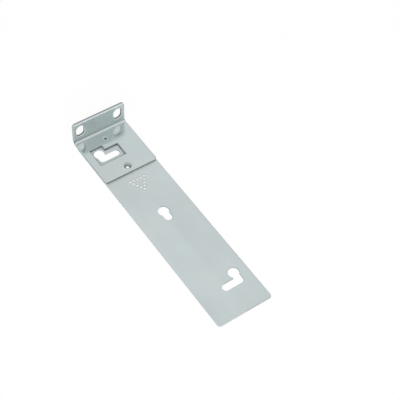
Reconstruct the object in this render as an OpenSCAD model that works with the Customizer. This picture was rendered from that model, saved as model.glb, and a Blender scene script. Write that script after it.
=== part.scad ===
// Rack mount ear bracket, left hand: a bent ear with a slotted flange, screwed on top of a thin
// extension strip whose keyholes hang on the shoulder studs of the equipment's side panel.
//
// The underside of the strip (z = 0) lies on the equipment's side. X runs from the front of the
// rack (the flange) to the rear, Y is up the rack, and Z points away from the equipment.
// Lengths along X are counted from the flange's front face, and the whole part is then moved so
// that its origin lies at the middle of its underside.

/* [Overall] */
// Height of the bracket up the rack, a little under one rack unit
bracket_w = 43.6; // [40:0.1:44.4]
// Length from the flange's front face to the strip's free end
bracket_len = 187; // [178:0.5:230]
// Distance from the equipment's side to the flange's free edge
flange_h = 21.3; // [20:0.1:30]
// Radius of the outer corners of both sheets
corner_r = 2.2; // [0.5:0.1:3]

/* [Ear] */
// Thickness of the ear's sheet
ear_t = 2; // [1.5:0.1:2.5]
// Inside radius of the bend
bend_r = 2.5; // [0.5:0.1:3]

/* [Rack slots] */
// Distance between the two rack slots
slot_pitch = 31.75; // [28:0.05:32]
// Width of a rack slot
slot_w = 6.8; // [5.5:0.1:7.2]
// Length of a rack slot from end to end
slot_len = 10.3; // [8:0.1:11]
// Height of the slots' centres above the equipment's side
slot_z = 12.55; // [12:0.05:13]

/* [Strip] */
// Thickness of the strip's sheet
strip_t = 0.8; // [0.6:0.1:1.5]
// Gap along X from the end of the bend to the strip
strip_gap = 1; // [0.2:0.1:2]

/* [Keyholes] */
// Diameter of the entry hole, which the stud's head passes
entry_d = 8.1; // [7:0.1:8.6]
// Width of the neck, which the stud's shoulder slides along
neck_w = 5.6; // [4.5:0.1:6]
// Distance from the flange's front face to the first stud's seat
seat_x = 24.7; // [24.2:0.1:25.5]
// Distance between the studs' seats
seat_pitch = 69.8; // [68:0.1:70.5]
// Distance along X from the entry hole to the seat, for the keyhole under the ear
ear_entry_x = 5.2; // [4.5:0.1:5.6]
// The same for the straight keyhole in the middle
mid_entry_x = 6.1; // [5:0.1:9]
// The same for the keyhole near the free end
end_entry_x = 6.9; // [5:0.1:9]
// Distance across the strip from the entry hole to the seat, for the two bent keyholes
entry_y = 11.05; // [9.5:0.05:12]

/* [Window in the ear] */
// Room between the entry hole and the window's edge
window_entry_room = 0.95; // [0.5:0.05:1.5]
// Room beside the neck for the stud's head
window_side_room = 3.15; // [2.5:0.05:3.5]
// Room past the seat's round end
window_seat_room = 2.05; // [1:0.05:4]

/* [Screws] */
// Distance from the flange's front face to the fitted screw
screw_x = 10.3; // [10:0.1:10.6]
// Distance from the fitted screw to the spare screw hole
screw_pitch = 30.8; // [29.8:0.1:31]
// Distance from the spare screw hole to the ear's end
ear_edge = 5.7; // [4.8:0.1:9]
// Diameter of the screw's head
head_d = 5.3; // [5:0.1:5.8]
// Diameter of the tapped bore in the strip, at the crests of its thread
tapped_d = 2.5; // [2:0.1:2.6]
// Diameter of the clearance hole in the ear
clear_d = 3.4; // [3.2:0.1:3.8]
// Depth of the head's top below the ear's surface
head_sink = 0.2; // [0.05:0.05:0.3]
// Gap between the head's cone and the countersink, and between the shank and the tapped bore
screw_fit = 0.05; // [0.02:0.01:0.1]
// Distance from the screw's tip up to the strip's underside
tip_gap = 0.2; // [0.1:0.05:0.4]
// Span of the cross recess in the head
recess_span = 2.9; // [2.4:0.1:3.2]
// Width of the recess's wings
recess_w = 0.75; // [0.4:0.05:0.9]
// Diameter of the cone where the wings meet
recess_core_d = 1.8; // [1.2:0.1:2.2]
// Depth of the recess
recess_depth = 1.1; // [0.8:0.05:1.3]

/* [Direction mark] */
// Diameter of the punched dots
dot_d = 1.7; // [1:0.1:1.9]
// Distance between neighbouring dots
dot_pitch = 2.95; // [2.4:0.05:3.2]
// Dots from corner to corner along a side of the triangle, less one
dot_steps = 4; // [2:1:5]
// Distance from the end of the ear to the base of the triangle
mark_gap = 7; // [5:0.1:10]

/* [Hidden] */
$fn = 96;
// How far a cutting shape stands out of what it cuts
over = 1;

bend_outer = bend_r + ear_t;
// Height of the ear's visible face above the equipment's side
face_z = strip_t + ear_t;
strip_start = bend_outer + strip_gap;
spare_x = screw_x + screw_pitch;
// Length of the ear from the flange's front face
ear_len = spare_x + ear_edge;
// A 90 degree countersink, so depths and radii change alike
sink_d = head_d + 2 * (head_sink + screw_fit);
sink_depth = (sink_d - clear_d) / 2;
shank_d = tapped_d - 2 * screw_fit;
mark_x = ear_len + mark_gap;
zinc = [0.76, 0.79, 0.79];
zinc_dull = [0.72, 0.75, 0.75];
zinc_bright = [0.8, 0.82, 0.82];

// Brings the flange's front face, from which lengths are counted, to its place in the part
module to_origin() {
    translate([-bracket_len / 2, 0, 0]) children();
}

// Outline from point a to point b with round ends, as a slot of width w
module slot_2d(a, b, w) {
    length = norm(b - a);
    angle = atan2(b[1] - a[1], b[0] - a[0]);
    translate(a) circle(d = w);
    translate(b) circle(d = w);
    if (length > 0) translate(a) rotate(angle) translate([0, -w / 2]) square([length, w]);
}

// What is cut from a corner at [0, 0] of a sheet that lies towards -X and -Y
module corner_2d() {
    translate([-corner_r, -corner_r]) difference() {
        square(corner_r + over);
        circle(r = corner_r);
    }
}

// The two corner cuts at distance x along a sheet of the bracket's width
module end_corners_2d(x) {
    for (side = [0, 1]) mirror([0, side]) translate([x, bracket_w / 2]) corner_2d();
}

// Section of the bent ear in the X-Z plane: flange, quarter bend and plate
module ear_section_2d() {
    translate([0, strip_t + bend_outer]) square([ear_t, flange_h - strip_t - bend_outer]);
    translate([bend_outer, strip_t]) square([ear_len - bend_outer, ear_t]);
    translate([bend_outer, strip_t + bend_outer]) intersection() {
        difference() {
            circle(r = bend_outer);
            circle(r = bend_r);
        }
        translate([-bend_outer, -bend_outer]) square(bend_outer);
    }
}

// Keyhole: an entry hole, a neck along X and, where dy isn't 0, a second neck across the strip.
// The stud seats at [0, 0], the end of the last neck.
module keyhole_2d(dx, dy) {
    entry = [-dx, dy];
    elbow = [0, dy];
    translate(entry) circle(d = entry_d);
    slot_2d(entry, elbow, neck_w);
    slot_2d(elbow, [0, 0], neck_w);
}

// Window in the ear that leaves room for the stud's head over the first keyhole
module window_2d() {
    side = neck_w / 2 + window_side_room;
    reach = entry_d / 2 + window_entry_room;
    low = -entry_y - reach;
    translate([-ear_entry_x - reach, low]) square([ear_entry_x + reach + side, 2 * reach]);
    translate([-side, low]) square([2 * side, neck_w / 2 + window_seat_room - low]);
}

// One of the ear's countersunk holes, from the top face down
module countersunk_hole() {
    translate([0, 0, strip_t - over]) cylinder(d = clear_d, h = ear_t + 2 * over);
    translate([0, 0, face_z - sink_depth]) cylinder(d1 = clear_d, d2 = sink_d, h = sink_depth);
    translate([0, 0, face_z]) cylinder(d = sink_d, h = over);
}

// Both rack slots, cut along X through the flange
module rack_slots() {
    rise = (slot_len - slot_w) / 2;
    for (side = [-1, 1]) translate([-over, side * slot_pitch / 2, slot_z]) rotate([90, 0, 90])
        linear_extrude(ear_t + 2 * over) slot_2d([0, -rise], [0, rise], slot_w);
}

// Triangle of punched dots: a plain mark for the way the bracket slides on its studs
module mark_2d() {
    side = dot_steps * dot_pitch;
    corners = [[0, -side / 2], [0, side / 2], [side * sin(60), 0]];
    for (i = [0 : 2]) {
        from = corners[i];
        to = corners[(i + 1) % 3];
        for (k = [0 : dot_steps - 1]) translate(from + (to - from) * k / dot_steps) circle(d = dot_d);
    }
}

module ear_plate() {
    color(zinc) to_origin() difference() {
        translate([0, bracket_w / 2, 0]) rotate([90, 0, 0])
            linear_extrude(bracket_w) ear_section_2d();
        translate([0, 0, strip_t - over]) linear_extrude(ear_t + 2 * over) end_corners_2d(ear_len);
        translate([ear_t + over, 0, 0]) rotate([0, -90, 0])
            linear_extrude(ear_t + 2 * over) end_corners_2d(flange_h);
        rack_slots();
        translate([seat_x, 0, strip_t - over]) linear_extrude(ear_t + 2 * over) window_2d();
        for (x = [screw_x, spare_x]) translate([x, 0, 0]) countersunk_hole();
    }
}

module extension_strip() {
    color(zinc_dull) to_origin() translate([0, 0, -over]) difference() {
        translate([strip_start, -bracket_w / 2, over])
            cube([bracket_len - strip_start, bracket_w, strip_t]);
        linear_extrude(strip_t + 2 * over) {
            end_corners_2d(bracket_len);
            translate([strip_start, 0]) mirror([1, 0]) end_corners_2d(0);
            translate([seat_x, 0]) keyhole_2d(ear_entry_x, -entry_y);
            translate([seat_x + seat_pitch, 0]) keyhole_2d(mid_entry_x, 0);
            translate([seat_x + 2 * seat_pitch, 0]) keyhole_2d(end_entry_x, entry_y);
            translate([mark_x, 0]) mark_2d();
            for (x = [screw_x, spare_x]) translate([x, 0]) circle(d = tapped_d);
        }
    }
}

// Cross recess with sloping wings round a cone, its mouth at z = 0
module cross_recess() {
    half = recess_span / 2;
    translate([0, 0, -recess_depth]) cylinder(d1 = recess_w, d2 = recess_core_d, h = recess_depth);
    cylinder(d = recess_core_d, h = over);
    for (turn = [0, 90]) rotate(turn) rotate([90, 0, 0])
        linear_extrude(recess_w, center = true)
            polygon([[-half, over], [-half, 0], [-half / 2, -recess_depth],
                     [half / 2, -recess_depth], [half, 0], [half, over]]);
}

module countersunk_screw() {
    head_top = face_z - head_sink;
    head_h = (head_d - shank_d) / 2;
    color(zinc_bright) to_origin() translate([screw_x, 0, 0]) difference() {
        union() {
            translate([0, 0, head_top - head_h]) cylinder(d1 = shank_d, d2 = head_d, h = head_h);
            translate([0, 0, tip_gap]) cylinder(d = shank_d, h = head_top - head_h - tip_gap);
        }
        translate([0, 0, head_top]) cross_recess();
    }
}

ear_plate();
extension_strip();
countersunk_screw();
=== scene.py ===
"""Finish and studio for a left-hand rack ear bracket: zinc-plated sheets with rolled-over
rims, tapped bores, a countersunk screw, a white floor, one big soft lamp and a camera."""

import math
from dataclasses import dataclass

import bpy
from bpy.props import FloatProperty, FloatVectorProperty, PointerProperty
from mathutils import Matrix, Vector


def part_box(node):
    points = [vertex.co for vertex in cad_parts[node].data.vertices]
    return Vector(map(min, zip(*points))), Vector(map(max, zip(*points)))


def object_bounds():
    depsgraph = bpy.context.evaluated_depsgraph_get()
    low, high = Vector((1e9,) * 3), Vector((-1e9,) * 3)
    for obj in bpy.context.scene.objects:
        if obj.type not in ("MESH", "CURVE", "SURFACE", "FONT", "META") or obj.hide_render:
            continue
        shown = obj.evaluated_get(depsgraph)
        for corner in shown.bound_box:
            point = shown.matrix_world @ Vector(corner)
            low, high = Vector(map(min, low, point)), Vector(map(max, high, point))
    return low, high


bl_info = {
    "name": "Rack Ear Bracket",
    "version": (1, 0, 0),
    "blender": (4, 5, 0),
    "location": "View3D > Sidebar > Bracket",
    "description": "Dresses a zinc-plated rack ear bracket and sets up its studio",
    "category": "Object",
}

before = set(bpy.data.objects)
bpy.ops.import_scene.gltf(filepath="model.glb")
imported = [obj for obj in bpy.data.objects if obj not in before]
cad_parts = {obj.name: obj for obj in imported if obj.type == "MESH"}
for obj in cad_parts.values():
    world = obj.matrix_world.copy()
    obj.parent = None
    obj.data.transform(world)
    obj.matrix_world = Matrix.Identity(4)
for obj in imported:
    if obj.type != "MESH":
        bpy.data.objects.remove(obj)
CAD_BOX = [list(corner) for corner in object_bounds()]

MM = 0.001
EAR = "ear_plate"
STRIP = "extension_strip"
SCREW = "countersunk_screw"

# Thickness of the ear's sheet, and the inside radius of its bend
EAR_THICKNESS = 2.0 * MM
BEND_RADIUS = 2.5 * MM
# Corner radius of both sheets, and how far past a corner's centre the outline's rims begin
CORNER = 2.2 * MM
OUTLINE_PAST = 1.5 * MM
# From the spare screw hole to the ear's end
SPARE_EDGE = 5.7 * MM
# Round of the thin strip's rims, as a share of the ear's
STRIP_SHARE = 0.45
# The edges round the strip's tapped bores and dots are shorter than this, all others longer
SMALL_EDGE = 0.22 * MM
# How much less the rims of small holes are rounded, and what share a countersink's mouth gets
SMALL_LESS = 0.6
MOUTH_SHARE = 0.2
# Metric thread M3: its pitch, its depth, and how far its bar starts inside the bore's wall
THREAD_PITCH = 0.5 * MM
THREAD_DEPTH = 0.25 * MM
THREAD_SUNK = 0.05 * MM
# The strip's tapped bores and the screw's shank, both at the core of the thread
BORE_RADIUS = 1.25 * MM
SHANK_RADIUS = 1.2 * MM

BLACK = (0.0, 0.0, 0.0, 1.0)
# Colour of the painted highlight on the flange's top rim and round its slots
PAINTED_HIGHLIGHT = (0.95, 0.97, 0.97, 1.0)
# Painted shade at the bottom of the screw's recess
RECESS_PAINTED_SHADE = (0.3, 0.33, 0.33, 1.0)
# The torn lower part of a cut: what is left of its colour, and how much rougher it is
TORN_COLOUR = 0.85
TORN_ROUGHER = 0.12
# How much rougher the recess is than the rest of the screw
RECESS_ROUGHER = 0.25
# Painted shade: how much darker the cuts in the ear's openings are; and how much darker the cut
# along the flange's top is
OPENING_PAINTED_SHADE = 0.37
TOP_SHADE = 0.2
# Painted shade in the countersinks as a share of the painted shade in the openings' rims, and how
# far out it lies
SINK_PAINTED_SHADE = 0.7
SINK_RADIUS = 2.9 * MM
# Painted shade beside the bend as a share of the painted shade along the far side
BEND_PAINTED_SHADE = 1.6
# Brightness of the painted highlight round the slots as a share of the painted highlight along the
# flange's top
SLOT_HIGHLIGHT_SHARE = 0.45

# ---------------------------------------------------------------- sizes


class BracketFinish(bpy.types.PropertyGroup):
    """Sizes and colours of the sheets, their rims and the screw"""

    rim_round: FloatProperty(
        name="Rim Round",
        description="How far the punch rolls over the upper rims of the ear's openings",
        default=0.66 * MM,
        min=0.0,
        max=0.8 * MM,
        subtype="DISTANCE",
        unit="LENGTH",
    )
    under_share: FloatProperty(
        name="Under Rim Share",
        description="Round of the rims underneath, as a share of the upper rims' round",
        default=0.25,
        min=0.0,
        max=1.0,
        subtype="FACTOR",
    )
    outline_share: FloatProperty(
        name="Outline Share",
        description="Round of the ear's outline, as a share of the round of its openings",
        default=0.75,
        min=0.0,
        max=1.0,
        subtype="FACTOR",
    )
    top_share: FloatProperty(
        name="Top Share",
        description="Round of the flange's top rim, as a share of the round of the ear's openings",
        default=1.5,
        min=1.0,
        max=2.0,
        subtype="FACTOR",
    )
    screw_round: FloatProperty(
        name="Screw Round",
        description="Round of the screw's edges",
        default=0.05 * MM,
        min=0.0,
        max=0.1 * MM,
        subtype="DISTANCE",
        unit="LENGTH",
    )
    zinc: FloatVectorProperty(
        name="Zinc",
        description="Colour of the plated sheet",
        default=(0.625, 0.69, 0.697),
        size=3,
        min=0.0,
        max=1.0,
        subtype="COLOR",
    )
    cut: FloatVectorProperty(
        name="Cut Face",
        description="Colour of the plating on sheared and punched faces",
        default=(0.41, 0.465, 0.46),
        size=3,
        min=0.0,
        max=1.0,
        subtype="COLOR",
    )
    strip_zinc: FloatVectorProperty(
        name="Strip Zinc",
        description="Colour of the duller plating on the strip",
        default=(0.536, 0.594, 0.6),
        size=3,
        min=0.0,
        max=1.0,
        subtype="COLOR",
    )
    ear_metal: FloatProperty(
        name="Ear Metal",
        description="How metallic the ear's plating is",
        default=0.95,
        min=0.0,
        max=1.0,
        subtype="FACTOR",
    )
    strip_metal: FloatProperty(
        name="Strip Metal",
        description="How metallic the strip's dull plating is",
        default=0.15,
        min=0.0,
        max=1.0,
        subtype="FACTOR",
    )
    # Painted light that makes the sheared sides of the ear paler
    side_painted_light: FloatProperty(
        name="Side Painted Light",
        description="How much the sheared sides of the ear take on the colour of its faces",
        default=0.6,
        min=0.0,
        max=1.0,
        subtype="FACTOR",
    )
    # Painted highlight on the flange's top rim and on the rims of its slots
    painted_highlight: FloatProperty(
        name="Painted Highlight",
        description="How bright the flange's top rim and the rims of its slots are painted",
        default=0.55,
        min=0.0,
        max=1.0,
        subtype="FACTOR",
    )
    # Painted shade in the rolled-over rims of the openings and in the countersinks
    rim_painted_shade: FloatProperty(
        name="Rim Painted Shade",
        description="How much darker the rolled-over rims of the openings are",
        default=0.4,
        min=0.0,
        max=1.0,
        subtype="FACTOR",
    )
    # Painted shade along the far sides of the sheets and beside the bend
    side_painted_shade: FloatProperty(
        name="Side Painted Shade",
        description="How much darker the rims along the far sides of the sheets are",
        default=0.45,
        min=0.0,
        max=1.0,
        subtype="FACTOR",
    )
    flange_dull: FloatProperty(
        name="Flange Dullness",
        description="How much rougher the plating of the flange is than that of the leg",
        default=0.14,
        min=0.0,
        max=0.5,
        subtype="FACTOR",
    )
    screw_zinc: FloatVectorProperty(
        name="Screw Zinc",
        description="Colour of the screw's plating",
        default=(0.8, 0.85, 0.85),
        size=3,
        min=0.0,
        max=1.0,
        subtype="COLOR",
    )
    gloss: FloatProperty(
        name="Roughness",
        description="Roughness of the sheets' plating",
        default=0.16,
        min=0.05,
        max=1.0,
        subtype="FACTOR",
    )
    screw_gloss: FloatProperty(
        name="Screw Roughness",
        description="Roughness of the screw's plating",
        default=0.24,
        min=0.05,
        max=1.0,
        subtype="FACTOR",
    )
    cut_gloss: FloatProperty(
        name="Cut Roughness",
        description="Roughness of the sheared and punched faces",
        default=0.45,
        min=0.05,
        max=1.0,
        subtype="FACTOR",
    )


class BracketStudio(bpy.types.PropertyGroup):
    """Floor, lamp and camera"""

    camera_place: FloatVectorProperty(
        name="Camera Place",
        description="Where the camera stands",
        default=(0.34733, -0.24406, 0.57099),
        size=3,
        subtype="TRANSLATION",
        unit="LENGTH",
    )
    heading: FloatProperty(
        name="Heading",
        description="Direction the camera looks in, turned from +X about +Z",
        default=math.radians(141.946),
        subtype="ANGLE",
        unit="ROTATION",
    )
    dip: FloatProperty(
        name="Dip",
        description="How far the camera looks down",
        default=math.radians(52.343),
        subtype="ANGLE",
        unit="ROTATION",
    )
    roll: FloatProperty(
        name="Roll",
        description="How far the camera is turned about its own line of sight",
        default=math.radians(4.234),
        subtype="ANGLE",
        unit="ROTATION",
    )
    lens: FloatProperty(
        name="Lens",
        description="Focal length of the camera's lens",
        default=90.95,
        min=20.0,
        max=300.0,
        unit="CAMERA",
    )
    lamp_place: FloatVectorProperty(
        name="Lamp Place",
        description="Where the lamp stands; it points at the origin",
        default=(3.0, -1.8, 2.8),
        size=3,
        subtype="TRANSLATION",
        unit="LENGTH",
    )
    lamp_size: FloatProperty(
        name="Lamp Size",
        description="Side of the square lamp",
        default=3.6,
        min=0.1,
        max=10.0,
        subtype="DISTANCE",
        unit="LENGTH",
    )
    lamp_power: FloatProperty(
        name="Lamp Power",
        description="Power of the lamp",
        default=165.0,
        min=0.0,
        max=1000.0,
        subtype="POWER",
        unit="POWER",
    )
    surround: FloatProperty(
        name="Surround",
        description="Brightness of the white room that the metal mirrors",
        default=0.86,
        min=0.0,
        max=2.0,
    )
    horizon: FloatProperty(
        name="Horizon",
        description="Brightness of that room near the horizon, towards +X",
        default=0.3,
        min=0.0,
        max=2.0,
    )
    fill: FloatProperty(
        name="Fill",
        description="Brightness of the light that the room gives from all sides",
        default=0.6,
        min=0.0,
        max=2.0,
    )
    side_horizon: FloatProperty(
        name="Side Horizon",
        description="Brightness of that room near the horizon in the other directions",
        default=0.75,
        min=0.0,
        max=2.0,
    )
    mirrored_floor: FloatProperty(
        name="Mirrored Floor",
        description="Brightness of the floor that the metal mirrors",
        default=0.78,
        min=0.0,
        max=2.0,
    )
    floor_keep: FloatProperty(
        name="Floor White",
        description="Share of the floor that stays white in the shade",
        default=0.9,
        min=0.0,
        max=1.0,
        subtype="FACTOR",
    )


# ---------------------------------------------------------------- node helpers


def node(tree, kind, **settings):
    made = tree.nodes.new(kind)
    for key, value in settings.items():
        setattr(made, key, value)
    return made


def link(tree, value, target):
    """Links another node's output to an input, or sets the input to a number or colour"""
    if isinstance(value, bpy.types.NodeSocket):
        tree.links.new(value, target)
    else:
        target.default_value = value


def math_node(tree, operation, *values, clamp=False):
    made = node(tree, "ShaderNodeMath", operation=operation, use_clamp=clamp)
    for slot, value in zip(made.inputs, values):
        link(tree, value, slot)
    return made.outputs[0]


def product(tree, first, *others):
    for value in others:
        first = math_node(tree, "MULTIPLY", first, value)
    return first


def rest_of(tree, share):
    return math_node(tree, "SUBTRACT", 1.0, share)


def vector_node(tree, operation, *values, output=0):
    made = node(tree, "ShaderNodeVectorMath", operation=operation)
    for slot, value in zip(made.inputs, values):
        link(tree, value, slot)
    return made.outputs[output]


def split(tree, vector, axis):
    """One coordinate of a vector"""
    made = node(tree, "ShaderNodeSeparateXYZ")
    link(tree, vector, made.inputs[0])
    return made.outputs[axis]


def mirrored(tree, place):
    """A place with its Y turned positive, so that both halves of the bracket count alike"""
    other = vector_node(tree, "MULTIPLY", place, (1.0, -1.0, 1.0))
    return vector_node(tree, "MAXIMUM", place, other)


def ramp_node(tree, value, low, high, to_low=0.0, to_high=1.0):
    """Smooth step from to_low at low to to_high at high"""
    made = node(tree, "ShaderNodeMapRange", interpolation_type="SMOOTHSTEP")
    for slot, given in zip(made.inputs, (value, low, high, to_low, to_high)):
        link(tree, given, slot)
    return made.outputs[0]


def band_node(tree, value, low, rise, fall, high):
    """1 from rise to fall, with smooth steps down to 0 at low and at high"""
    falling = ramp_node(tree, value, fall, high, 1.0, 0.0)
    return product(tree, ramp_node(tree, value, low, rise), falling)


def colour_mix(tree, factor, first, second, blend="MIX"):
    made = node(tree, "ShaderNodeMix", data_type="RGBA", blend_type=blend)
    for number, value in ((0, factor), (6, first), (7, second)):
        link(tree, value, made.inputs[number])
    return made.outputs[2]


def noise_node(tree, vector, scale, detail=2.0, rough=0.5):
    made = node(tree, "ShaderNodeTexNoise")
    values = {"Vector": vector, "Scale": scale, "Detail": detail, "Roughness": rough}
    for socket, value in values.items():
        link(tree, value, made.inputs[socket])
    return made.outputs[0]


def new_group(name, inputs, outputs, kind="ShaderNodeTree"):
    """An empty node group with the given sockets; returns it with its two end nodes"""
    tree = bpy.data.node_groups.new(name, kind)
    for socket_name, socket_kind, default in inputs:
        made = tree.interface.new_socket(socket_name, in_out="INPUT", socket_type=socket_kind)
        if default is not None:
            made.default_value = default
    for socket_name, socket_kind in outputs:
        tree.interface.new_socket(socket_name, in_out="OUTPUT", socket_type=socket_kind)
    return tree, node(tree, "NodeGroupInput"), node(tree, "NodeGroupOutput")


def shared(name, build):
    """The node group of that name, built the first time it is asked for"""
    return bpy.data.node_groups.get(name) or build()


def group_node(tree, name, build, values):
    """Places a shared effect in a material with its own values; returns its outputs"""
    made = node(tree, "ShaderNodeGroup", node_tree=shared(name, build))
    for socket, value in values.items():
        link(tree, value, made.inputs[socket])
    return made.outputs


# ---------------------------------------------------------------- shared effects


def sheet_direction(tree, position, axis):
    """Vector from the bend's axis square to the sheet, and its length. Along the flat parts of a
    bent sheet it points straight through the sheet, and round the bend it points outwards."""
    away = vector_node(tree, "SUBTRACT", position, axis)
    low = vector_node(tree, "MINIMUM", away, (0.0, 0.0, 0.0))
    flat = vector_node(tree, "MULTIPLY", low, (1.0, 0.0, 1.0))
    return vector_node(tree, "NORMALIZE", flat), vector_node(tree, "LENGTH", flat, output=1)


def cut_face_group():
    """Where a sheet was sheared or punched, how far its rims are turned, and how deep through the
    sheet a point lies"""
    tree, start, end = new_group(
        "Cut Face",
        [
            ("Position", "NodeSocketVector", None),
            ("Normal", "NodeSocketVector", None),
            ("Bend Axis", "NodeSocketVector", None),
            ("Inside Radius", "NodeSocketFloat", MM),
            ("Thickness", "NodeSocketFloat", 2 * MM),
        ],
        [
            ("Cut", "NodeSocketFloat"),
            ("Rim", "NodeSocketFloat"),
            ("Roll", "NodeSocketFloat"),
            ("Depth", "NodeSocketFloat"),
        ],
    )
    given = start.outputs
    direction, distance = sheet_direction(tree, given["Position"], given["Bend Axis"])
    facing = vector_node(tree, "DOT_PRODUCT", direction, given["Normal"], output=1)
    # Now 1 on the sheet's faces and 0 on a square cut
    facing = math_node(tree, "ABSOLUTE", facing)
    link(tree, ramp_node(tree, facing, 0.05, 0.4, 1.0, 0.0), end.inputs["Cut"])
    # The part of a rolled rim next to the face, and the whole of it down to the cut
    link(tree, band_node(tree, facing, 0.72, 0.86, 0.985, 0.998), end.inputs["Rim"])
    link(tree, band_node(tree, facing, 0.2, 0.4, 0.97, 0.995), end.inputs["Roll"])
    depth = math_node(tree, "SUBTRACT", distance, given["Inside Radius"])
    depth = math_node(tree, "DIVIDE", depth, given["Thickness"], clamp=True)
    link(tree, depth, end.inputs["Depth"])
    return tree


def zinc_tone_group():
    """Cloudy tint, gloss and grain of a zinc plating over a sheet that was rolled along X"""
    tree, start, end = new_group(
        "Zinc Tone",
        [
            ("Position", "NodeSocketVector", None),
            ("Clouds", "NodeSocketFloat", 1.0),
            ("Grain", "NodeSocketFloat", 1.0),
        ],
        [
            ("Tint", "NodeSocketColor"),
            ("Roughness", "NodeSocketFloat"),
            ("Height", "NodeSocketFloat"),
        ],
    )
    place = start.outputs["Position"]
    # Clouds of about 40 mm, drawn out along X in part
    wide = noise_node(tree, place, 24.0)
    drawn = vector_node(tree, "MULTIPLY", place, (9.0, 90.0, 90.0))
    drawn = noise_node(tree, drawn, 1.0, detail=3.0, rough=0.55)
    cloud = math_node(tree, "ADD", product(tree, wide, 0.6), product(tree, drawn, 0.4))
    cloud = ramp_node(tree, cloud, 0.36, 0.64, -1.0, 1.0)
    # Grain under a millimetre, and fine rolling lines
    grain = noise_node(tree, place, 1600.0, rough=0.6)
    lines = vector_node(tree, "MULTIPLY", place, (60.0, 2600.0, 2600.0))
    lines = noise_node(tree, lines, 1.0, rough=0.6)
    fine = math_node(tree, "SUBTRACT", math_node(tree, "ADD", grain, lines), 1.0)
    tone = math_node(
        tree,
        "ADD",
        product(tree, cloud, start.outputs["Clouds"], 0.035),
        product(tree, fine, start.outputs["Grain"], 0.012),
    )
    shade = vector_node(tree, "ADD", (1.0, 1.0, 1.0), tone)
    # A tint that wavers between warm and cool
    hue = noise_node(tree, vector_node(tree, "ADD", place, (0.31, 0.17, 0.05)), 33.0, detail=1.0)
    hue = ramp_node(tree, hue, 0.35, 0.65)
    cool = colour_mix(tree, hue, (1.0, 0.995, 0.985, 1.0), (0.985, 1.0, 1.0, 1.0))
    link(tree, vector_node(tree, "MULTIPLY", shade, cool), end.inputs["Tint"])
    rough = math_node(tree, "ADD", product(tree, cloud, 0.025), product(tree, fine, 0.04))
    link(tree, rough, end.inputs["Roughness"])
    link(tree, fine, end.inputs["Height"])
    return tree


# ---------------------------------------------------------------- geometry node groups


def upper_and_under_rims(tree, place, axis):
    """Masks of the edges where the upper side of a sheet ends, and where its underside does"""
    normal = node(tree, "GeometryNodeInputNormal").outputs[0]
    direction, _ = sheet_direction(tree, place, axis)
    facing = vector_node(tree, "DOT_PRODUCT", direction, normal, output=1)
    masks = []
    for sign in (-1.0, 1.0):
        on_side = math_node(tree, "GREATER_THAN", product(tree, facing, sign), 0.8)
        on_face = node(tree, "GeometryNodeFieldOnDomain", data_type="FLOAT", domain="FACE")
        link(tree, on_side, on_face.inputs[0])
        # An edge has the mean of its two faces, so a half means that one of them is on that side
        masks.append(math_node(tree, "COMPARE", on_face.outputs[0], 0.5, 0.3))
    return masks


def outline_factor(tree, place, given):
    """Factor for the rims of the sheet's outline. The standing sheet's top rim is the widest,
    and its round corners lead over to it."""
    past = vector_node(tree, "SUBTRACT", mirrored(tree, place), given["Corner"])
    on_outline = 0.0
    for axis in range(3):
        beyond = math_node(tree, "GREATER_THAN", split(tree, past, axis), OUTLINE_PAST)
        on_outline = math_node(tree, "MAXIMUM", on_outline, beyond)
    factor = rest_of(tree, product(tree, on_outline, rest_of(tree, given["Outline Share"])))
    upward = math_node(tree, "ARCTAN2", split(tree, past, 2), split(tree, past, 1))
    upward = math_node(tree, "DIVIDE", upward, math.pi / 2, clamp=True)
    to_top = math_node(tree, "SUBTRACT", given["Top Share"], factor)
    return math_node(tree, "ADD", factor, product(tree, upward, to_top))


def rim_group():
    """How far each edge is rounded, as a share of the widest rim. Upper rims of a cut get their
    full share, rims underneath and round small holes less, and a countersink's mouth least."""
    tree, start, end = new_group(
        "Rim Shares",
        [
            ("Geometry", "NodeSocketGeometry", None),
            ("Bend Axis", "NodeSocketVector", None),
            ("Under Share", "NodeSocketFloat", 0.25),
            ("Outline Share", "NodeSocketFloat", 1.0),
            ("Top Share", "NodeSocketFloat", 1.0),
            ("Corner", "NodeSocketVector", None),
            ("Small Edge", "NodeSocketFloat", 0.0),
        ],
        [("Geometry", "NodeSocketGeometry")],
        "GeometryNodeTree",
    )
    given = start.outputs
    place = node(tree, "GeometryNodeInputPosition").outputs[0]
    upper, under = upper_and_under_rims(tree, place, given["Bend Axis"])
    share = math_node(tree, "ADD", upper, product(tree, under, given["Under Share"]))
    angle = node(tree, "GeometryNodeInputMeshEdgeAngle").outputs[0]
    # A countersink's mouth is shallow, and an edge between two facets of a round isn't a rim
    steep = ramp_node(tree, angle, math.radians(60), math.radians(80), MOUTH_SHARE, 1.0)
    sharp = math_node(tree, "GREATER_THAN", angle, math.radians(30))
    ends = node(tree, "GeometryNodeInputMeshEdgeVertices").outputs
    length = vector_node(tree, "DISTANCE", ends["Position 1"], ends["Position 2"], output=1)
    small = math_node(tree, "LESS_THAN", length, given["Small Edge"])
    less = rest_of(tree, product(tree, small, SMALL_LESS))
    share = product(tree, share, steep, sharp, less, outline_factor(tree, place, given))
    share = math_node(tree, "DIVIDE", share, given["Top Share"])
    store = node(tree, "GeometryNodeStoreNamedAttribute", data_type="FLOAT", domain="EDGE")
    store.inputs["Name"].default_value = "bevel_weight_edge"
    link(tree, given["Geometry"], store.inputs["Geometry"])
    link(tree, share, store.inputs["Value"])
    link(tree, store.outputs["Geometry"], end.inputs["Geometry"])
    return tree


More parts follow.
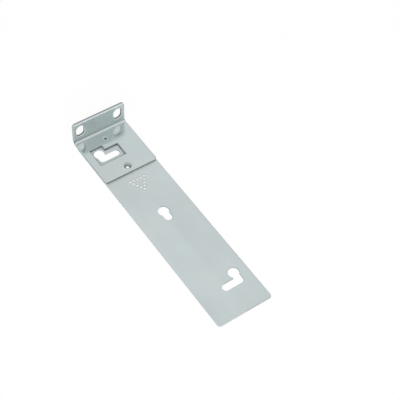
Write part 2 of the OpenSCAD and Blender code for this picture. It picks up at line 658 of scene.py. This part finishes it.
def thread_helix(tree, given):
    """The thread's centre line, right-hand, as a curve that starts at the origin's height"""
    radius = math_node(tree, "SUBTRACT", given["Radius"], THREAD_SUNK)
    helix = node(tree, "GeometryNodeCurveSpiral")
    values = {
        "Resolution": 40,
        "Reverse": True,
        "Rotations": given["Turns"],
        "Start Radius": radius,
        "End Radius": radius,
        "Height": product(tree, given["Turns"], THREAD_PITCH),
    }
    for socket, value in values.items():
        link(tree, value, helix.inputs[socket])
    upright = node(tree, "GeometryNodeSetCurveNormal", mode="Z_UP")
    link(tree, helix.outputs[0], upright.inputs[0])
    return upright.outputs[0]


def thread_section(tree):
    """Section of the thread's bar: flanks at 60 degrees to each other, and between them a flat
    that is an eighth of the pitch wide"""
    reach = THREAD_DEPTH + THREAD_SUNK
    half_flat = THREAD_PITCH / 16
    half_root = half_flat + reach * math.tan(math.radians(30))
    section = node(tree, "GeometryNodeCurvePrimitiveQuadrilateral", mode="POINTS")
    corners = ((0.0, -half_root), (reach, -half_flat), (reach, half_flat), (0.0, half_root))
    for number, (out, up) in enumerate(corners, start=1):
        section.inputs[f"Point {number}"].default_value = (out, up, 0.0)
    return section.outputs[0]


def thread_group(name, operation):
    """A thread that is cut out of a tapped bore or added to a shank. Each end of its helical bar
    runs out over half a turn."""
    tree, start, end = new_group(
        name,
        [
            ("Geometry", "NodeSocketGeometry", None),
            ("Foot", "NodeSocketVector", None),
            ("Radius", "NodeSocketFloat", BORE_RADIUS),
            ("Turns", "NodeSocketFloat", 2.0),
        ],
        [("Geometry", "NodeSocketGeometry")],
        "GeometryNodeTree",
    )
    given = start.outputs
    along = node(tree, "GeometryNodeSplineParameter").outputs["Factor"]
    from_end = math_node(tree, "MINIMUM", along, rest_of(tree, along))
    from_end = product(tree, from_end, given["Turns"])
    bar = node(tree, "GeometryNodeCurveToMesh")
    link(tree, thread_helix(tree, given), bar.inputs["Curve"])
    link(tree, thread_section(tree), bar.inputs["Profile Curve"])
    link(tree, ramp_node(tree, from_end, 0.0, 0.5, 0.02, 1.0), bar.inputs["Scale"])
    bar.inputs["Fill Caps"].default_value = True
    facets = node(tree, "GeometryNodeTriangulate")
    link(tree, bar.outputs[0], facets.inputs[0])
    moved = node(tree, "GeometryNodeTransform")
    link(tree, facets.outputs[0], moved.inputs["Geometry"])
    link(tree, given["Foot"], moved.inputs["Translation"])
    joined = node(tree, "GeometryNodeMeshBoolean", operation=operation, solver="EXACT")
    # A union takes all its meshes in one socket
    body = "Mesh 1" if operation == "DIFFERENCE" else "Mesh 2"
    link(tree, given["Geometry"], joined.inputs[body])
    link(tree, moved.outputs[0], joined.inputs["Mesh 2"])
    link(tree, joined.outputs[0], end.inputs["Geometry"])
    return tree


def shading_group():
    """Smooth faces, with edges over 35 degrees kept sharp"""
    tree, start, end = new_group(
        "Smooth Flats",
        [("Geometry", "NodeSocketGeometry", None)],
        [("Geometry", "NodeSocketGeometry")],
        "GeometryNodeTree",
    )
    clear = node(tree, "GeometryNodeRemoveAttribute")
    clear.inputs["Name"].default_value = "custom_normal"
    faces = node(tree, "GeometryNodeSetShadeSmooth", domain="FACE")
    edges = node(tree, "GeometryNodeSetShadeSmooth", domain="EDGE")
    angle = node(tree, "GeometryNodeInputMeshEdgeAngle").outputs[0]
    link(tree, math_node(tree, "LESS_THAN", angle, math.radians(35)), edges.inputs["Shade Smooth"])
    link(tree, start.outputs["Geometry"], clear.inputs["Geometry"])
    link(tree, clear.outputs["Geometry"], faces.inputs["Geometry"])
    link(tree, faces.outputs["Geometry"], edges.inputs["Geometry"])
    link(tree, edges.outputs["Geometry"], end.inputs["Geometry"])
    return tree


# ---------------------------------------------------------------- rims and threads


def socket_id(tree, name):
    for item in tree.interface.items_tree:
        if item.item_type == "SOCKET" and item.in_out == "INPUT" and item.name == name:
            return item.identifier
    raise KeyError(name)


def add_group(piece, name, build, values):
    """Adds a geometry node group to a piece's modifiers with its own values"""
    made = piece.modifiers.new(name, "NODES")
    made.node_group = shared(name, build)
    for socket, value in values.items():
        made[socket_id(made.node_group, socket)] = value


def merge_flats(piece):
    """Merges the triangles of each flat face"""
    flats = piece.modifiers.new("Flats", "DECIMATE")
    flats.decimate_type = "DISSOLVE"
    flats.angle_limit = math.radians(0.4)


def join_flats(piece):
    """Joins doubled points, which the solids have along their edges, and merges flat faces"""
    weld = piece.modifiers.new("Weld", "WELD")
    weld.merge_threshold = 0.0005 * MM
    merge_flats(piece)


def add_bevel(piece, name, width, segments, limit):
    """Rounds the edges of a piece by a modifier, and leaves its mesh as it is"""
    bevel = piece.modifiers.new(name, "BEVEL")
    bevel.limit_method = limit
    bevel.width = width
    bevel.segments = segments
    bevel.use_clamp_overlap = False
    bevel.loop_slide = False
    merge_flats(piece)
    return bevel


def round_rims(piece, axis, width, under=1.0, outline=1.0, top=1.0, small_edge=0.0):
    """Rounds the rims of a sheet's cuts and outline, each by its share of the width"""
    join_flats(piece)
    values = {
        "Bend Axis": axis,
        "Under Share": under,
        "Outline Share": outline,
        "Top Share": top,
        "Corner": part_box(piece.name)[1] - Vector((1, 1, 1)) * CORNER,
        "Small Edge": small_edge,
    }
    add_group(piece, "Rim Shares", rim_group, values)
    rims = add_bevel(piece, "Rims", width * top, 3, "WEIGHT")
    rims.miter_outer = "MITER_SHARP"


def add_thread(piece, operation, foot, radius, turns):
    """Cuts a thread into a bore (DIFFERENCE) or raises one on a shank (UNION)"""
    name = "Cut Thread" if operation == "DIFFERENCE" else "Raised Thread"
    values = {"Foot": foot, "Radius": radius, "Turns": turns}
    add_group(piece, name, lambda: thread_group(name, operation), values)


def even_shading(piece):
    """Shades flat faces flat and rounds smooth"""
    add_group(piece, "Smooth Flats", shading_group, {})
    even = piece.modifiers.new("Even Normals", "WEIGHTED_NORMAL")
    even.mode = "FACE_AREA"
    even.weight = 100
    even.keep_sharp = True


# ---------------------------------------------------------------- materials


@dataclass
class Sheet:
    """One of the two sheets: how it lies and what its plating is like"""

    label: str
    zinc: tuple
    metal: float
    clouds: float
    # Axis of its bend, and its thickness
    axis: Vector
    thickness: float


def new_material(name):
    material = bpy.data.materials.new(name)
    material.use_nodes = True
    return material, material.node_tree, material.node_tree.nodes["Principled BSDF"]


def darken(tree, factor, colour):
    return colour_mix(tree, factor, colour, BLACK)


def tinted(tree, colour, tint):
    return colour_mix(tree, 1.0, colour, tint, "MULTIPLY")


def opaque(colour):
    return (*colour, 1.0)


def plating(tree, position, clouds):
    return group_node(tree, "Zinc Tone", zinc_tone_group, {"Position": position, "Clouds": clouds})


def sheet_effects(tree, sheet):
    """Position, cut face masks and plating tone on a sheet"""
    place = node(tree, "ShaderNodeTexCoord").outputs
    values = {
        "Position": place["Object"],
        "Normal": place["Normal"],
        "Bend Axis": sheet.axis,
        "Inside Radius": BEND_RADIUS,
        "Thickness": sheet.thickness,
    }
    edge = group_node(tree, "Cut Face", cut_face_group, values)
    return place["Object"], edge, plating(tree, place["Object"], sheet.clouds)


def cut_face_look(tree, finish, edge):
    """Colour and roughness of a cut: a sheared band under the upper rim, a torn one below it"""
    torn = ramp_node(tree, edge["Depth"], 0.35, 0.5)
    torn_colour = opaque(TORN_COLOUR * part for part in finish.cut)
    colour = colour_mix(tree, torn, opaque(finish.cut), torn_colour)
    return colour, math_node(tree, "ADD", finish.cut_gloss, product(tree, torn, TORN_ROUGHER))


def far_half(tree, position):
    """Mask of the bracket's half towards +Y"""
    return math_node(tree, "GREATER_THAN", split(tree, position, 1), 0.0)


def finish_sheet(tree, shader, edge, tone, colour, face_rough, cut_rough):
    """Gives the shader its colour, the roughness of faces and cuts, and the grain"""
    link(tree, tinted(tree, colour, tone["Tint"]), shader.inputs["Base Color"])
    mixed = node(tree, "ShaderNodeMix", data_type="FLOAT")
    for number, value in ((0, edge["Cut"]), (2, face_rough), (3, cut_rough)):
        link(tree, value, mixed.inputs[number])
    link(tree, mixed.outputs[0], shader.inputs["Roughness"])
    bump = node(tree, "ShaderNodeBump")
    bump.inputs["Strength"].default_value = 0.12
    bump.inputs["Distance"].default_value = 0.02 * MM
    link(tree, tone["Height"], bump.inputs["Height"])
    link(tree, bump.outputs[0], shader.inputs["Normal"])


def strip_material(finish, sheet):
    """Dull plating with painted shade in the rims of the far half"""
    material, tree, shader = new_material(sheet.label)
    position, edge, tone = sheet_effects(tree, sheet)
    cut_colour, cut_rough = cut_face_look(tree, finish, edge)
    # Painted shade in the rims of the far half
    painted_shade = product(tree, far_half(tree, position), edge["Roll"], finish.side_painted_shade)
    faces = darken(tree, painted_shade, opaque(sheet.zinc))
    colour = colour_mix(tree, edge["Cut"], faces, cut_colour)
    rough = math_node(tree, "ADD", finish.gloss, tone["Roughness"])
    finish_sheet(tree, shader, edge, tone, colour, rough, cut_rough)
    shader.inputs["Metallic"].default_value = sheet.metal
    return material


def ear_masks(tree, position):
    """Masks of the ear's openings, which lie more than a millimetre inside its outline, of its
    sheared sides and of its far half"""
    folded = mirrored(tree, position)
    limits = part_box(EAR)[1] - Vector((MM, MM, MM))
    openings = 1.0
    for axis, limit in enumerate(limits):
        within = math_node(tree, "LESS_THAN", split(tree, folded, axis), limit)
        openings = math_node(tree, "MULTIPLY", openings, within)
    return {
        "openings": openings,
        "sides": math_node(tree, "GREATER_THAN", split(tree, folded, 1), limits.y),
        "far": far_half(tree, position),
    }


def countersink_painted_shade(tree, position, centre):
    # Painted shade in a countersink, out to SINK_RADIUS
    away = vector_node(tree, "SUBTRACT", position, centre)
    away = vector_node(tree, "MULTIPLY", away, (1.0, 1.0, 0.0))
    away = vector_node(tree, "LENGTH", away, output=1)
    return ramp_node(tree, away, SINK_RADIUS - 0.02 * MM, SINK_RADIUS + 0.08 * MM, SINK_PAINTED_SHADE, 0.0)


def ear_painted_shade(tree, finish, position, edge, masks, sinks):
    """Painted shade in the rims of the leg's openings, in its countersinks and along the sides"""
    height = split(tree, position, 2)
    leg_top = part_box(SCREW)[1].z
    on_leg = math_node(tree, "LESS_THAN", height, leg_top + MM)
    # Painted shade in the rims of the leg's openings
    painted_shade = product(tree, edge["Rim"], masks["openings"], on_leg)
    for centre in sinks:
        painted_shade = math_node(tree, "MAXIMUM", painted_shade, countersink_painted_shade(tree, position, centre))
    painted_shade = product(tree, painted_shade, finish.rim_painted_shade)
    # Both sides get painted shade at the bend, and the far one all along
    bend = [leg_top + rise * MM for rise in (0.2, 0.8, 2.0, 3.0)]
    at_bend = product(tree, band_node(tree, height, *bend), BEND_PAINTED_SHADE)
    side = math_node(tree, "MAXIMUM", masks["far"], at_bend)
    side = product(tree, masks["sides"], side, edge["Roll"], finish.side_painted_shade)
    return math_node(tree, "MAXIMUM", painted_shade, side)


def ear_cut_colour(tree, finish, sheet, colour, height, masks):
    """Cut faces of the ear: painted shade in the openings, painted light on the sides, dark on top
    """
    top = CAD_BOX[1][2]
    # Painted shade on the cuts inside the openings
    colour = darken(tree, product(tree, masks["openings"], OPENING_PAINTED_SHADE), colour)
    # Painted light on the sheared sides, towards the colour of the faces
    side = product(tree, masks["sides"], finish.side_painted_light)
    colour = colour_mix(tree, side, colour, opaque(sheet.zinc))
    on_top = ramp_node(tree, height, top - 0.15 * MM, top - 0.05 * MM, 0.0, TOP_SHADE)
    return darken(tree, on_top, colour)


def painted_rim_highlights(tree, finish, height, edge, openings):
    """A painted highlight: a bright line along the flange's top rim, and paler rims round its
    slots
    """
    top = CAD_BOX[1][2]
    leg_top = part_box(SCREW)[1].z
    line = band_node(tree, height, *(top - drop * MM for drop in (1.05, 0.8, 0.5, 0.25)))
    line = product(tree, line, ramp_node(tree, edge["Depth"], 0.3, 0.5, 1.0, 0.0))
    on_flange = ramp_node(tree, height, leg_top + 2 * MM, leg_top + 3 * MM)
    slots = product(tree, edge["Roll"], openings, on_flange, SLOT_HIGHLIGHT_SHARE)
    return product(tree, math_node(tree, "MAXIMUM", line, slots), finish.painted_highlight)


def flange_dullness(tree, finish, height, edge):
    """How much rougher the flange is, apart from its rims"""
    leg_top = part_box(SCREW)[1].z
    dull = ramp_node(tree, height, leg_top + 2 * MM, leg_top + 4 * MM, 0.0, finish.flange_dull)
    return product(tree, dull, rest_of(tree, edge["Roll"]))


def ear_material(finish, sheet, sinks):
    """Glossy plating that is duller on the flange, with painted highlights and painted shade on
    its rims
    """
    material, tree, shader = new_material(sheet.label)
    position, edge, tone = sheet_effects(tree, sheet)
    height = split(tree, position, 2)
    masks = ear_masks(tree, position)
    cut_colour, cut_rough = cut_face_look(tree, finish, edge)
    cut_colour = ear_cut_colour(tree, finish, sheet, cut_colour, height, masks)
    # Painted shade in the rims, the countersinks and along the sides
    painted_shade = ear_painted_shade(tree, finish, position, edge, masks, sinks)
    faces = darken(tree, painted_shade, opaque(sheet.zinc))
    colour = colour_mix(tree, edge["Cut"], faces, cut_colour)
    # Painted highlight, which is also less metallic
    bright = painted_rim_highlights(tree, finish, height, edge, masks["openings"])
    colour = colour_mix(tree, bright, colour, PAINTED_HIGHLIGHT)
    rough = math_node(tree, "ADD", finish.gloss, tone["Roughness"])
    rough = math_node(tree, "ADD", rough, flange_dullness(tree, finish, height, edge))
    finish_sheet(tree, shader, edge, tone, colour, rough, cut_rough)
    link(tree, product(tree, sheet.metal, rest_of(tree, bright)), shader.inputs["Metallic"])
    return material


def screw_material(finish):
    """Bright plating, with painted shade in the recess"""
    material, tree, shader = new_material("Zinc Screw")
    position = node(tree, "ShaderNodeTexCoord").outputs["Object"]
    tone = plating(tree, position, clouds=0.6)
    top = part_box(SCREW)[1].z
    sunk = ramp_node(tree, split(tree, position, 2), top - 0.3 * MM, top - 0.04 * MM, 1.0, 0.0)
    # Painted shade at the bottom of the recess
    colour = colour_mix(tree, sunk, opaque(finish.screw_zinc), RECESS_PAINTED_SHADE)
    link(tree, tinted(tree, colour, tone["Tint"]), shader.inputs["Base Color"])
    shader.inputs["Metallic"].default_value = 1.0
    rough = math_node(tree, "ADD", finish.screw_gloss, tone["Roughness"])
    rough = math_node(tree, "ADD", rough, product(tree, sunk, RECESS_ROUGHER))
    link(tree, rough, shader.inputs["Roughness"])
    return material


def dress(piece, material):
    for slot in piece.material_slots:
        slot.material = material


# ---------------------------------------------------------------- operators


def screw_holes():
    """Where the axes of the fitted screw and of the spare screw hole meet the strip's underside"""
    low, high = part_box(SCREW)
    fitted = (low + high) / 2
    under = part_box(STRIP)[0].z
    return [Vector((x, fitted.y, under)) for x in (fitted.x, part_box(EAR)[1].x - SPARE_EDGE)]


class BRACKET_OT_ear_plate(bpy.types.Operator):
    """Rounds the ear's punched rims and gives the bent sheet its zinc plating"""

    bl_idname = "bracket.ear_plate"
    bl_label = "Ear Plate"

    def execute(self, context):
        finish = context.scene.bracket_finish
        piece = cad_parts[EAR]
        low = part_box(EAR)[0]
        outer = EAR_THICKNESS + BEND_RADIUS
        sheet = Sheet(
            label="Zinc Ear",
            zinc=finish.zinc,
            metal=finish.ear_metal,
            clouds=0.8,
            axis=Vector((low.x + outer, 0.0, low.z + outer)),
            thickness=EAR_THICKNESS,
        )
        round_rims(
            piece,
            sheet.axis,
            finish.rim_round,
            under=finish.under_share,
            outline=finish.outline_share,
            top=finish.top_share,
        )
        even_shading(piece)
        dress(piece, ear_material(finish, sheet, screw_holes()))
        return {"FINISHED"}


class BRACKET_OT_extension_strip(bpy.types.Operator):
    """Rounds the strip's punched rims, taps its bores and gives the thin sheet its plating"""

    bl_idname = "bracket.extension_strip"
    bl_label = "Extension Strip"

    def execute(self, context):
        finish = context.scene.bracket_finish
        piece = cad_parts[STRIP]
        low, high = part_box(STRIP)
        sheet = Sheet(
            label="Zinc Strip",
            zinc=finish.strip_zinc,
            metal=finish.strip_metal,
            clouds=1.0,
            # A flat sheet is a bent one whose bend lies beyond its end
            axis=Vector((low.x - 1.0, 0.0, high.z + BEND_RADIUS)),
            thickness=high.z - low.z,
        )
        width = STRIP_SHARE * finish.rim_round
        round_rims(piece, sheet.axis, width, under=finish.under_share, small_edge=SMALL_EDGE)
        # The thread's bar runs out half a turn beyond each face
        turns = sheet.thickness / THREAD_PITCH + 1
        for hole in screw_holes():
            foot = hole - Vector((0.0, 0.0, THREAD_PITCH / 2))
            add_thread(piece, "DIFFERENCE", foot, BORE_RADIUS, turns)
        even_shading(piece)
        dress(piece, strip_material(finish, sheet))
        return {"FINISHED"}


class BRACKET_OT_countersunk_screw(bpy.types.Operator):
    """Breaks the screw's edges, raises its thread and gives it its plating"""

    bl_idname = "bracket.countersunk_screw"
    bl_label = "Countersunk Screw"

    def execute(self, context):
        finish = context.scene.bracket_finish
        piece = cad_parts[SCREW]
        join_flats(piece)
        edges = add_bevel(piece, "Edges", finish.screw_round, 2, "ANGLE")
        edges.angle_limit = math.radians(40)
        # One pitch above the foot of the bore's thread, so that the two fit into each other
        foot = screw_holes()[0] + Vector((0.0, 0.0, THREAD_PITCH / 2))
        add_thread(piece, "UNION", foot, SHANK_RADIUS, 2.0)
        even_shading(piece)
        dress(piece, screw_material(finish))
        return {"FINISHED"}


def build_world(studio):
    """A white backdrop, and a room that lights the metal and that the metal mirrors"""
    world = bpy.data.worlds.new("White Room")
    bpy.context.scene.world = world
    world.use_nodes = True
    tree = world.node_tree
    background = tree.nodes["Background"]
    path = node(tree, "ShaderNodeLightPath").outputs
    seen = path["Is Camera Ray"]
    mirror = math_node(tree, "MAXIMUM", path["Is Glossy Ray"], path["Is Transmission Ray"])
    # The mirrored room is dimmer near the horizon, most of all towards +X
    direction = node(tree, "ShaderNodeTexCoord").outputs["Generated"]
    across = split(tree, direction, 0)
    low = ramp_node(tree, across, 0.1, 0.7, studio.side_horizon, studio.horizon)
    room = ramp_node(tree, split(tree, direction, 2), 0.12, 0.62, low, studio.surround)
    level = math_node(tree, "ADD", product(tree, mirror, room), seen)
    others = rest_of(tree, math_node(tree, "MAXIMUM", mirror, seen))
    level = math_node(tree, "ADD", level, product(tree, others, studio.fill))
    background.inputs["Color"].default_value = (1.0, 1.0, 1.0, 1.0)
    link(tree, level, background.inputs["Strength"])


def floor_material(studio):
    """White to the camera apart from the shade on it, and pale where the metal mirrors it"""
    material, tree, shader = new_material("White Floor")
    tree.nodes.remove(shader)
    path = node(tree, "ShaderNodeLightPath").outputs
    mirror = path["Is Glossy Ray"]
    pale = studio.mirrored_floor
    matt = node(tree, "ShaderNodeBsdfDiffuse")
    colour = colour_mix(tree, mirror, (0.97, 0.97, 0.97, 1.0), (pale, pale, pale, 1.0))
    link(tree, colour, matt.inputs["Color"])
    glow = node(tree, "ShaderNodeEmission")
    link(tree, rest_of(tree, product(tree, mirror, 1.0 - pale)), glow.inputs["Strength"])
    # The mirrored floor glows less, so that its shade shows in the metal
    shown = math_node(tree, "MAXIMUM", path["Is Camera Ray"], product(tree, mirror, 0.3))
    shown = math_node(tree, "MAXIMUM", shown, path["Is Transmission Ray"])
    mix = node(tree, "ShaderNodeMixShader")
    link(tree, product(tree, shown, studio.floor_keep), mix.inputs[0])
    link(tree, matt.outputs[0], mix.inputs[1])
    link(tree, glow.outputs[0], mix.inputs[2])
    link(tree, mix.outputs[0], tree.nodes["Material Output"].inputs["Surface"])
    return material


def build_floor(studio):
    """A square floor, 3.2 m wide, just below the bracket"""
    low = CAD_BOX[0][2] - 0.1 * MM
    half = 1.6
    corners = [(x * half, y * half, low) for x, y in ((-1, -1), (1, -1), (1, 1), (-1, 1))]
    mesh = bpy.data.meshes.new("Floor")
    mesh.from_pydata(corners, [], [(0, 1, 2, 3)])
    mesh.materials.append(floor_material(studio))
    floor = bpy.data.objects.new("Floor", mesh)
    bpy.context.scene.collection.objects.link(floor)


def build_lamp(studio):
    """One big soft lamp that the metal doesn't mirror"""
    data = bpy.data.lights.new("Key", "AREA")
    data.shape = "SQUARE"
    data.size = studio.lamp_size
    data.energy = studio.lamp_power
    lamp = bpy.data.objects.new("Key", data)
    bpy.context.scene.collection.objects.link(lamp)
    lamp.visible_glossy = False
    place = Vector(studio.lamp_place)
    lamp.location = place
    lamp.rotation_euler = (-place).to_track_quat("-Z", "Y").to_euler()


def build_camera(studio):
    data = bpy.data.cameras.new("Camera")
    data.lens = studio.lens
    data.sensor_width = 36.0
    camera = bpy.data.objects.new("Camera", data)
    bpy.context.scene.collection.objects.link(camera)
    level = math.cos(studio.dip)
    ahead = Vector(
        (level * math.cos(studio.heading), level * math.sin(studio.heading), -math.sin(studio.dip))
    )
    right = ahead.cross(Vector((0, 0, 1))).normalized()
    up = right.cross(ahead)
    turned = math.cos(studio.roll) * right + math.sin(studio.roll) * up
    upright = -math.sin(studio.roll) * right + math.cos(studio.roll) * up
    matrix = Matrix((turned, upright, -ahead)).transposed().to_4x4()
    matrix.translation = Vector(studio.camera_place)
    camera.matrix_world = matrix
    bpy.context.scene.camera = camera


class BRACKET_OT_studio(bpy.types.Operator):
    """Sets up the white floor, the soft lamp and the camera"""

    bl_idname = "bracket.studio"
    bl_label = "Studio"

    def execute(self, context):
        studio = context.scene.bracket_studio
        build_world(studio)
        build_floor(studio)
        build_lamp(studio)
        build_camera(studio)
        context.scene.view_settings.view_transform = "Standard"
        return {"FINISHED"}


class BRACKET_PT_panel(bpy.types.Panel):
    """Lists the bracket's finish, its pieces and its studio"""

    bl_idname = "BRACKET_PT_panel"
    bl_label = "Rack Ear Bracket"
    bl_space_type = "VIEW_3D"
    bl_region_type = "UI"
    bl_category = "Bracket"

    def draw(self, context):
        layout = self.layout
        for name in BracketFinish.__annotations__:
            layout.prop(context.scene.bracket_finish, name)
        for operator in OPERATORS:
            layout.operator(operator.bl_idname)
        for name in BracketStudio.__annotations__:
            layout.prop(context.scene.bracket_studio, name)


OPERATORS = (
    BRACKET_OT_ear_plate,
    BRACKET_OT_extension_strip,
    BRACKET_OT_countersunk_screw,
    BRACKET_OT_studio,
)
CLASSES = (BracketFinish, BracketStudio, *OPERATORS, BRACKET_PT_panel)


def register():
    for item in CLASSES:
        bpy.utils.register_class(item)
    bpy.types.Scene.bracket_finish = PointerProperty(type=BracketFinish)
    bpy.types.Scene.bracket_studio = PointerProperty(type=BracketStudio)


def unregister():
    del bpy.types.Scene.bracket_studio
    del bpy.types.Scene.bracket_finish
    for item in reversed(CLASSES):
        bpy.utils.unregister_class(item)


def main():
    register()
    bpy.ops.bracket.ear_plate()
    bpy.ops.bracket.extension_strip()
    bpy.ops.bracket.countersunk_screw()
    bpy.ops.bracket.studio()


if __name__ == "__main__":
    main()
